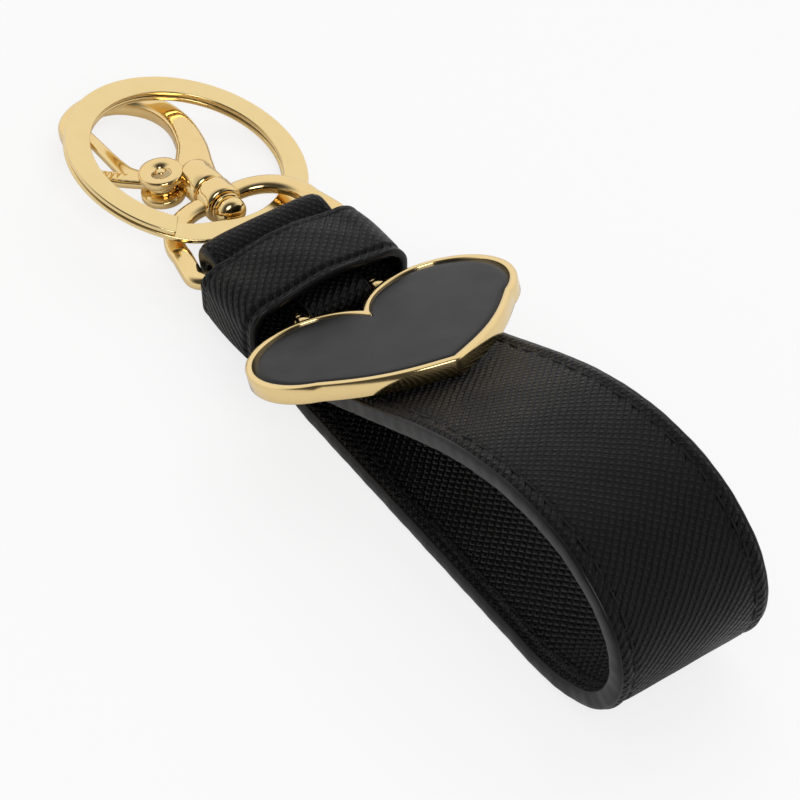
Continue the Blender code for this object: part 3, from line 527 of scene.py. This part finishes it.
for side_sign, label in ((-1, "near"), (1, "far")):
    angle = np.linspace(0, 2 * math.pi, 12, endpoint=False)
    bead = sweep(
        line[:, 0], line[:, 1], th, tab_thick / 2 + 0.36 * np.sin(angle)[None, :] + 0 * ts[:, None],
        side_sign * (tab_half + 0.02 + 0.16 * np.cos(angle))[None, :],
    )
    if side_sign > 0:
        bead = bead[:, ::-1]
    trim = surface(f"tab_edge_paint_{label}", bead, wrap_v=True)
    trim.data.materials.append(edge_paint)
    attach(trim, "strap")


# ---------------------------------------------------------------- heart charm
# A cast, polished and gold-plated heart with a raised rim round a dark enamel field, hanging by
# two prongs from a bar through the tab. Its lettering is left out, so the enamel is bare.


def gold_material(name, colour=(0.91, 0.69, 0.34), rough=0.14, scale=420.0):
    """Polished gold plate: near-mirror, with faint polishing waves and haze."""
    material, shader, node, link = shader_tree(name)
    coords = node("ShaderNodeTexCoord").outputs["Object"]
    haze = node("ShaderNodeTexNoise", {"Vector": coords, "Scale": scale, "Detail": 4.0}).outputs["Fac"]
    gloss = node("ShaderNodeMapRange", {0: haze, 1: 0.3, 2: 0.75, 3: rough - 0.03, 4: rough + 0.07})
    link(gloss.outputs[0], shader.inputs["Roughness"])
    deep = tuple(c * f for c, f in zip(colour, (0.93, 0.90, 0.84)))
    tint = node("ShaderNodeMix", {"Factor": haze, "A": (*deep, 1), "B": (*colour, 1)}, data_type="RGBA")
    link(tint.outputs["Result"], shader.inputs["Base Color"])
    wave = node("ShaderNodeTexNoise", {"Vector": coords, "Scale": 150.0, "Detail": 1.0}).outputs["Fac"]
    bump = node("ShaderNodeBump", {"Strength": 0.05, "Distance": 0.0003, "Height": wave})
    link(bump.outputs[0], shader.inputs["Normal"])
    shader.inputs["Metallic"].default_value = 1.0
    return material


def heart_loop(inset, lobe=72, side=26):
    """The heart's outline in (u, v), moved inwards: two lobe arcs and two bowed sides."""
    offset, tip_reach, bow_size = 9.05, 19.0, 1.3
    radius = 10.4 - inset
    half_tip = math.atan2(offset, tip_reach) + math.asin(10.4 / math.hypot(tip_reach, offset))
    tip = tip_reach - inset / math.sin(half_tip)
    leave = math.atan2(-offset, tip) + math.acos(radius / math.hypot(tip, offset))
    cleft = 2 * math.pi - math.acos(-math.sqrt(max(0.0, 1 - (offset / radius) ** 2)))
    a = np.linspace(cleft, leave, lobe)
    u, v = radius * np.cos(a), offset + radius * np.sin(a)
    k = np.linspace(0, 1, side)[1:]
    length = math.hypot(tip - u[-1], v[-1])
    nu, nv = v[-1] / length, (tip - u[-1]) / length
    bow = bow_size * np.sin(math.pi * k)
    u = np.concatenate([u, u[-1] + (tip - u[-1]) * k + bow * nu])
    v = np.concatenate([v, v[-1] * (1 - k) + bow * nv])
    return np.concatenate([u, u[-2:0:-1]]), np.concatenate([v, -v[-2:0:-1]])


hinge = Matrix.Translation(Vector(BAR)) @ Matrix.Rotation(-math.radians(23.0), 4, "Y")
turn3 = np.array(hinge.to_3x3())


def on_heart(points):
    """Points in the heart's own (along, across, up) mm frame, moved to where it hangs."""
    return points @ turn3.T + BAR


rim_profile = (
    (4.0, -1.25), (0.35, -1.25), (0.12, -1.18), (0.0, -1.0), (0.0, 0.95), (0.05, 1.10), (0.16, 1.20),
    (0.32, 1.25), (0.78, 1.25), (0.92, 1.21), (0.99, 1.12), (1.02, 0.96), (1.02, 0.80), (4.0, 0.80),
)
loops = []
for inset, height in rim_profile:
    u, v = heart_loop(min(inset, 1.3))
    if inset > 1.3:
        u, v = 4.0 + 0 * u, 0 * v
    loops.append(np.stack([u + 12.4, v, np.full(len(u), height)], 1))
heart_gold = gold_material("heart gold", rough=0.10)
heart = surface("heart_frame", on_heart(np.array(loops)), wrap_v=True)
heart.data.materials.append(heart_gold)
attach(heart, "heart")
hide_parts("heart_frame")

enamel, enamel_shader, node, link = shader_tree("dark enamel")
coords = node("ShaderNodeTexCoord").outputs["Object"]
cloud = node("ShaderNodeTexNoise", {"Vector": coords, "Scale": 220.0, "Detail": 3.0}).outputs["Fac"]
tint = node(
    "ShaderNodeMix",
    {"Factor": cloud, "A": (0.011, 0.011, 0.0107, 1), "B": (0.015, 0.015, 0.0147, 1)},
    data_type="RGBA",
)
link(tint.outputs["Result"], enamel_shader.inputs["Base Color"])
gloss = node("ShaderNodeMapRange", {0: cloud, 1: 0.3, 2: 0.7, 3: 0.26, 4: 0.36}).outputs[0]
link(gloss, enamel_shader.inputs["Roughness"])
enamel_shader.inputs["Specular IOR Level"].default_value = 0.2
bump = node("ShaderNodeBump", {"Strength": 0.15, "Distance": 0.0002, "Height": cloud})
link(bump.outputs[0], enamel_shader.inputs["Normal"])
fills = []
for share in np.linspace(0, 1, 16):
    u, v = heart_loop(1.02)
    centre = 4.0
    drop = 1.10 + 0.03 * (1 - share**2) - 0.10 * max(0.0, (share - 0.93) / 0.07) ** 2
    fills.append(np.stack([centre + (u - centre) * share + 12.4, v * share, np.full(len(u), drop)], 1))
u, v = heart_loop(1.05)
fills.append(np.stack([u + 12.4, v, np.full(len(u), 0.82)], 1))
field = surface("heart_enamel", on_heart(np.array(fills[::-1])), wrap_v=True)
field.data.materials.append(enamel)
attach(field, "heart")
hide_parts("heart_enamel")


def turned_piece(name, profile, place, material, sides=48):
    """A body turned about its own Z from (radius, height) points, put in place by a matrix."""
    profile = np.array(profile, float)
    a = np.linspace(0, 2 * math.pi, sides, endpoint=False)
    x = profile[:, :1] * np.cos(a)[None]
    y = profile[:, :1] * np.sin(a)[None]
    z = profile[:, 1:] + 0 * x
    points = np.stack([x, y, z], -1) @ np.array(place.to_3x3()).T + np.array(place.translation)
    item = surface(name, points, wrap_v=True)
    item.data.materials.append(material)
    return item


bar_place = hinge @ Matrix.Rotation(math.pi / 2, 4, "X")
bar_profile = [
    (0.01, -6.75), (0.5, -6.72), (0.72, -6.5), (0.75, -6.3), (0.75, 6.3), (0.72, 6.5), (0.5, 6.72),
    (0.01, 6.75),
]
bar = turned_piece("heart_bar", bar_profile, bar_place, heart_gold)
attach(bar, "heart")
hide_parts("heart_bar")


def prism(name, outline, thick, edge, material):
    """A plate from a closed outline (along, up), rounded on both faces, standing across its own Y."""
    outline = np.array(outline)
    centre = outline.mean(0)
    rows = []
    face = thick / 2
    flank = face - edge * 0.8
    steps = ((1e-3, -face), (1 - edge, -face), (1, -flank), (1, flank), (1 - edge, face), (1e-3, face))
    for shrink, y in steps:
        flat = centre + (outline - centre) * shrink
        rows.append(np.stack([flat[:, 0], np.full(len(flat), y), flat[:, 1]], 1))
    item = surface(name, np.array(rows), wrap_v=True)
    item.data.materials.append(material)
    return item


angle = np.radians(np.arange(300, 59, -10))
eye = [(1.25 * math.cos(a), 1.25 * math.sin(a)) for a in angle]
prong = [(3.3, -0.95), (0.8, -1.0)] + eye + [(0.8, 1.0), (3.3, 0.95)]
for sign, label in ((-1, "near"), (1, "far")):
    item = prism(f"heart_prong_{label}", prong, 1.5, 0.2, heart_gold)
    co = np.zeros(len(item.data.vertices) * 3, np.float32)
    item.data.vertices.foreach_get("co", co)
    local = co.reshape(-1, 3) / MM + np.array([0, sign * 5.8, 0])
    item.data.vertices.foreach_set("co", (on_heart(local) * MM).astype(np.float32).ravel())
    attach(item, "heart")


# ---------------------------------------------------------------- D-ring
# A cast gold-plated D: a round bar inside the fold, two arms, and a boss at its far side that
# the swivel post turns in.

DROP = math.radians(4.5)
hardware = Matrix.Translation((-45.0, 0.0, 5.4)) @ Matrix.Rotation(-DROP, 4, "Y")


def moved(item, place):
    """Moves a piece's points, drawn in mm about an axis, to where that axis is."""
    co = np.zeros(len(item.data.vertices) * 3, np.float32)
    item.data.vertices.foreach_get("co", co)
    local = co.reshape(-1, 3) / MM
    world = local @ np.array(place.to_3x3()).T + np.array(place.translation)
    item.data.vertices.foreach_set("co", (world * MM).astype(np.float32).ravel())
    item.data.update()
    return item


def tube(name, line, wide, thick, material, power=2.4, wrap=False, around=28):
    """A rod along a flat line in XY: its section is a rounded oblong of the given half sizes."""
    line = np.array(line, float)
    if wrap:
        tangent = np.roll(line, -1, 0) - np.roll(line, 1, 0)
    else:
        tangent = np.gradient(line, axis=0)
    tangent /= np.linalg.norm(tangent, axis=1, keepdims=True)
    normal = np.stack([-tangent[:, 1], tangent[:, 0]], 1)
    a = np.linspace(0, 2 * math.pi, around, endpoint=False)
    c = np.sign(np.cos(a)) * np.abs(np.cos(a)) ** (2 / power)
    s = np.sign(np.sin(a)) * np.abs(np.sin(a)) ** (2 / power)
    wide = np.broadcast_to(wide, len(line))[:, None]
    thick = np.broadcast_to(thick, len(line))[:, None]
    x = line[:, :1] + normal[:, :1] * wide * c[None]
    y = line[:, 1:2] + normal[:, 1:2] * wide * c[None]
    z = thick * s[None] + 0 * x
    if line.shape[1] > 2:
        z = z + line[:, 2:3]
    points = np.stack([x, y, z], -1)
    if not wrap:
        def cap(ring, inward):
            mid = ring.mean(0)
            steps = [(0.001, 1.0), (0.45, 0.92), (0.78, 0.62), (0.94, 0.28)]
            return [mid + (ring - mid) * f + inward * g for f, g in steps]
        reach0 = np.array([-tangent[0, 0], -tangent[0, 1], 0])
        reach1 = np.array([tangent[-1, 0], tangent[-1, 1], 0])
        first = cap(points[0], reach0 * float(wide[0, 0]) * 0.8)
        last = cap(points[-1], reach1 * float(wide[-1, 0]) * 0.8)[::-1]
        points = np.concatenate([np.array(first), points, np.array(last)], 0)
    item = surface(name, points, wrap_u=wrap, wrap_v=True)
    item.data.materials.append(material)
    return item


def smooth_line(knots, count):
    """A smooth line through knots (any columns), by the Catmull-Rom rule, evenly stepped."""
    k = np.array(knots, float)
    k = np.concatenate([2 * k[:1] - k[1:2], k, 2 * k[-1:] - k[-2:-1]])
    t = np.linspace(0, len(k) - 3 - 1e-9, count)
    i = t.astype(int)
    f = (t - i)[:, None]
    p, q, r, s = k[i], k[i + 1], k[i + 2], k[i + 3]
    return 0.5 * (2 * q + (r - p) * f + (2 * p - 5 * q + 4 * r - s) * f**2 + (3 * q - p - 3 * r + s) * f**3)


def d_line(half, near, far, near_corner, far_corner, lean):
    """The D's middle line, closed: the bar at the near side and a round far side."""
    a = np.radians(np.linspace(0, 90, 10))
    b = np.radians(np.linspace(90, 180, 22))
    side = np.concatenate([
        np.stack([near + near_corner * (np.cos(a) - 1), half + near_corner * (np.sin(a) - 1)], 1),
        np.stack([far_corner * (1 + np.cos(b)) - far, half - lean + far_corner * (np.sin(b) - 1)], 1),
    ])
    loop = np.concatenate([side, side[::-1] * [1, -1]])
    loop = np.concatenate([loop, loop[:1]])
    length = np.concatenate([[0], np.cumsum(np.hypot(*np.diff(loop, axis=0).T))])
    keep = np.concatenate([[True], np.diff(length) > 1e-6])
    loop, length = loop[keep], length[keep]
    s = np.linspace(0, length[-1], 220, endpoint=False)
    return np.stack([np.interp(s, length, loop[:, 0]), np.interp(s, length, loop[:, 1])], 1)


d_gold = gold_material("hardware gold", rough=0.11)
middle = d_line(11.45, 0.0, 13.9, 1.5, 7.5, 1.0)
on_bar = np.clip((middle[:, 0] + 2.2) / 1.6, 0, 1)
d_ring = tube("d_ring", middle, 1.45 - 0.15 * on_bar, 1.05, d_gold, power=2.6, wrap=True)
moved(d_ring, hardware)
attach(d_ring, "d_ring")
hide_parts("d_ring")

lengthwise = hardware @ Matrix.Rotation(math.pi / 2, 4, "Y")
boss_profile = [
    (1.5, -12.15), (2.45, -12.1), (2.75, -12.25), (2.9, -12.6), (2.9, -13.2), (2.9, -14.6),
    (2.9, -15.2), (2.75, -15.55), (2.45, -15.7), (1.5, -15.65), (1.5, -12.15),
]
boss = turned_piece("d_ring_boss", boss_profile, lengthwise, d_gold)
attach(boss, "d_ring")


# ---------------------------------------------------------------- swivel post and washer
# The post is pressed into the hook and riveted over a washer inside the D, so the hook turns
# freely in the boss.

head = [(0.01, -9.02)]
for a in np.radians(np.arange(12, 91, 13)):
    head.append((2.15 * math.sin(a), -9.0 - 1.05 * (1 - math.cos(a))))
head += [(2.2, -10.2), (2.2, -10.7), (2.05, -11.0), (1.2, -11.05), (1.2, -18.6), (0.01, -18.6)]
post = turned_piece("swivel_post", head, lengthwise, d_gold)
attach(post, "hook")
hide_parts("swivel_post")
ring_profile = [
    (1.5, -11.4), (2.2, -11.38), (2.3, -11.5), (2.3, -11.7), (2.2, -11.8), (1.5, -11.8), (1.5, -11.4),
]
washer = turned_piece("swivel_washer", ring_profile, lengthwise, d_gold)
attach(washer, "hook")
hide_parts("swivel_washer")


# ---------------------------------------------------------------- snap hook
# A cast body: a barrel on the swivel post, a forked hub for the gate, and an arm that curves
# round to the nose.

BASE = 16.0
hook_gold = gold_material("hook gold", rough=0.12)
knots = [
    (1.5, 0.0, 2.4), (5.5, 0.8, 2.8), (10.5, 3.2, 2.2), (16.5, 4.4, 1.8), (22.0, 3.4, 1.6),
    (26.4, 0.0, 1.55), (27.6, -4.6, 1.5), (25.4, -8.6, 1.4), (21.2, -9.9, 1.2),
]
arm = smooth_line([(-(BASE + a), b, c) for a, b, c in knots], 150)
hook = tube("hook_body", arm[:, :2], arm[:, 2], 1.5, hook_gold, power=3.2)
moved(hook, hardware)
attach(hook, "hook")
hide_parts("hook_body")
barrel_profile = [
    (1.5, -16.05), (2.3, -16.0), (2.65, -16.15), (2.8, -16.5), (2.8, -18.8), (2.7, -19.4), (2.8, -19.9),
    (2.75, -20.7), (2.4, -21.2), (1.2, -21.3), (0.01, -21.3),
]
barrel = turned_piece("hook_barrel", barrel_profile, lengthwise, hook_gold)
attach(barrel, "hook")
pivot = hardware @ Matrix.Translation((-(BASE + 6.0), -4.3, 0))
for sign, label in ((1, "upper"), (-1, "lower")):
    cheek_profile = [
        (0.86, 1.1), (3.1, 1.1), (3.2, 1.25), (3.2, 2.0), (3.08, 2.22), (2.8, 2.3), (0.86, 2.3),
        (0.86, 1.1),
    ]
    cheek = turned_piece(f"hook_cheek_{label}", [(r, sign * z) for r, z in cheek_profile], pivot, hook_gold)
    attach(cheek, "hook")


# ---------------------------------------------------------------- gate
# A sprung lever between the cheeks, with a thumb piece. It turns on a pin, and a small torsion
# spring in its hub presses it shut against the nose.

lever_knots = [(6.0, -4.3, 1.4), (9.5, -6.7, 1.3), (13.0, -7.3, 0.95), (22.3, -7.3, 0.75)]
lever = smooth_line([(-(BASE + a), b, c) for a, b, c in lever_knots], 70)
gate = tube("hook_gate", lever[:, :2], lever[:, 2], 0.8, hook_gold, power=3.0)
moved(gate, hardware)
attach(gate, "gate")
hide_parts("hook_gate")
thumb_knots = [(7.0, -5.2, 1.2), (10.2, -8.4, 1.2), (12.8, -10.6, 1.0)]
thumb_line = smooth_line([(-(BASE + a), b, c) for a, b, c in thumb_knots], 60)
ribs = 0.03 * np.sin(np.linspace(0, 16 * math.pi, 60)) * np.linspace(0, 1, 60)
thumb = tube("gate_thumb_piece", thumb_line[:, :2], thumb_line[:, 2], 0.78 + ribs, hook_gold, power=3.0)
moved(thumb, hardware)
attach(thumb, "gate")
hub_profile = [
    (0.86, -0.85), (1.95, -0.85), (2.1, -0.7), (2.1, 0.7), (1.95, 0.85), (0.86, 0.85), (0.86, -0.85),
]
hub = turned_piece("gate_hub", hub_profile, pivot, hook_gold)
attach(hub, "gate")
pin_profile = [
    (0.01, 2.34), (0.45, 2.31), (0.68, 2.2), (0.7, 2.05), (0.7, -2.05), (0.68, -2.2), (0.45, -2.31),
    (0.01, -2.34),
]
pin = turned_piece("gate_pin", pin_profile, pivot, hook_gold)
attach(pin, "hook")
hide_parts("gate_pin")

steel, steel_shader, node, link = shader_tree("spring wire")
coords = node("ShaderNodeTexCoord").outputs["Object"]
drawn = node("ShaderNodeTexNoise", {"Vector": coords, "Scale": 2500.0}).outputs["Fac"]
gloss = node("ShaderNodeMapRange", {0: drawn, 3: 0.22, 4: 0.42}).outputs[0]
link(gloss, steel_shader.inputs["Roughness"])
steel_shader.inputs["Metallic"].default_value = 1.0
steel_shader.inputs["Base Color"].default_value = (0.45, 0.45, 0.46, 1)
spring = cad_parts["gate_spring"]
spring.data.materials.clear()
spring.data.materials.append(steel)


# ---------------------------------------------------------------- split key ring
# Flat spring wire rolled into two coils lying on each other, with one short step where the wire
# changes level, ground ends, and gold plate. It leans over the D-ring's near arm.

ring_gold = gold_material("key ring gold", colour=(0.91, 0.71, 0.36), rough=0.18)
ring_lean = Matrix.Rotation(math.radians(10.5), 4, "Y") @ Matrix.Rotation(-math.radians(15.7), 4, "X")
ring_place = hardware @ Matrix.Translation((-22.0, 0, 2.2)) @ ring_lean
STEP, STEP_SPAN = 325.0, 25.0
turns = np.linspace(STEP + STEP_SPAN + 3 - 360, STEP + 357, 620)
rise = np.clip((turns - STEP) / STEP_SPAN, 0, 1)
rise = rise * rise * (3 - 2 * rise)
a = np.radians(turns)
mid = np.stack([15.7 * np.cos(a), 15.7 * np.sin(a), (rise - 0.5) * 0.92], 1)
wide, tall, soft = 1.8, 0.375, 0.2
corner = []
flat_x, flat_y = wide - soft, tall - soft
quarters = ((flat_x, flat_y, 0), (-flat_x, flat_y, 90), (-flat_x, -flat_y, 180), (flat_x, -flat_y, 270))
for cx, cy, start in quarters:
    for turn in np.radians(start + np.linspace(0, 90, 6)):
        corner.append((cx + soft * math.cos(turn), cy + soft * math.sin(turn)))
corner = np.array(corner)
radial = np.stack([np.cos(a), np.sin(a), 0 * a], 1)
points = mid[:, None] + radial[:, None] * corner[None, :, :1] + np.array([0, 0, 1.0]) * corner[None, :, 1:]
first, last = points[:1], points[-1:]
ends = [first.mean(1, keepdims=True) * (1 - f) + first * f for f in (0.01, 0.97)]
tail = [last.mean(1, keepdims=True) * (1 - f) + last * f for f in (0.97, 0.01)]
points = np.concatenate([ends[0], ends[1], points, tail[0], tail[1]], 0)[:, ::-1]
key_ring = surface("split_key_ring", points, wrap_v=True)
key_ring.data.materials.append(ring_gold)
moved(key_ring, ring_place)
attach(key_ring, "key_ring")
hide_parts("split_ring")


# ---------------------------------------------------------------- stage, light and camera
# A pale seamless table, a large soft light above and behind that polished metal does not mirror,
# and a smaller one from the front. The surroundings are white, and dark on the viewer's side.

floor_mesh = bpy.data.meshes.new("table")
corners = [(x, y, -0.0002) for x, y in ((-3, -3), (3, -3), (3, 3), (-3, 3))]
floor_mesh.from_pydata(corners, [], [(0, 1, 2, 3)])
table = bpy.data.objects.new("table", floor_mesh)
bpy.context.scene.collection.objects.link(table)
white, white_shader, node, link = shader_tree("table white")
white_shader.inputs["Base Color"].default_value = (0.95, 0.95, 0.95, 1)
white_shader.inputs["Roughness"].default_value = 0.6
white_shader.inputs["Specular IOR Level"].default_value = 0.1
seen = node("ShaderNodeLightPath")
glow = node("ShaderNodeEmission", {"Color": (1, 1, 1, 1), "Strength": 1.0})
share_seen = node("ShaderNodeMath", {0: seen.outputs["Is Camera Ray"], 1: 0.78}, operation="MULTIPLY")
layers = {0: share_seen.outputs[0], 1: white_shader.outputs[0], 2: glow.outputs[0]}
blend = node("ShaderNodeMixShader", layers)
link(blend.outputs[0], white.node_tree.nodes["Material Output"].inputs["Surface"])
floor_mesh.materials.append(white)

world = bpy.data.worlds.new("studio")
bpy.context.scene.world = world
world.use_nodes = True
tree = world.node_tree
background = tree.nodes["Background"]
background.inputs["Color"].default_value = (1, 1, 1, 1)
sight = tree.nodes.new("ShaderNodeLightPath")
toward = tree.nodes.new("ShaderNodeVectorMath")
toward.operation = "DOT_PRODUCT"
toward.inputs[1].default_value = (0.578, -0.375, 0.725)
tree.links.new(tree.nodes.new("ShaderNodeTexCoord").outputs["Generated"], toward.inputs[0])
mirrored = tree.nodes.new("ShaderNodeMapRange")
mirrored.interpolation_type = "SMOOTHSTEP"
tree.links.new(toward.outputs["Value"], mirrored.inputs[0])
for index, value in enumerate((0.15, 0.80, 0.95, 0.06), 1):
    mirrored.inputs[index].default_value = value
plain = tree.nodes.new("ShaderNodeMix")
plain.inputs["A"].default_value = 0.5
tree.links.new(sight.outputs["Is Glossy Ray"], plain.inputs["Factor"])
tree.links.new(mirrored.outputs[0], plain.inputs["B"])
shown = tree.nodes.new("ShaderNodeMix")
shown.inputs["B"].default_value = 1.0
tree.links.new(sight.outputs["Is Camera Ray"], shown.inputs["Factor"])
tree.links.new(plain.outputs[0], shown.inputs["A"])
tree.links.new(shown.outputs[0], background.inputs["Strength"])


def soft_light(name, place, aim, size, power):
    """A square soft light that looks at a point; stands outside the camera's view."""
    data = bpy.data.lights.new(name, "AREA")
    data.size = size
    data.energy = power
    lamp = bpy.data.objects.new(name, data)
    lamp.location = place
    lamp.rotation_euler = (Vector(aim) - Vector(place)).to_track_quat("-Z", "Y").to_euler()
    bpy.context.scene.collection.objects.link(lamp)
    return lamp


back_light = soft_light("back light", (-0.45, 0.55, 0.7), (-0.02, 0, 0.01), 1.1, 3.5)
back_light.visible_glossy = False
soft_light("front light", (0.45, -0.15, 0.5), (0.0, 0, 0.01), 0.3, 1.4)

view = bpy.data.cameras.new("camera")
view.lens = 135.27
view.sensor_width = 36.0
view.clip_start = 0.01
view.clip_end = 20.0
camera = bpy.data.objects.new("camera", view)
azimuth, elevation, roll = (math.radians(v) for v in (57.02, 46.47, -1.75))
level = math.cos(elevation)
back_way = Vector((math.sin(azimuth) * level, -math.cos(azimuth) * level, math.sin(elevation)))
right_way = Vector((math.cos(azimuth), math.sin(azimuth), 0))
up_way = back_way.cross(right_way)
right_turned = right_way * math.cos(roll) + up_way * math.sin(roll)
up_turned = -right_way * math.sin(roll) + up_way * math.cos(roll)
facing = Matrix((right_turned, up_turned, back_way)).transposed().to_4x4()
camera.matrix_world = Matrix.Translation((0.2142, -0.148, 0.28855)) @ facing
bpy.context.scene.collection.objects.link(camera)
bpy.context.scene.camera = camera
bpy.context.scene.view_settings.view_transform = "Standard"
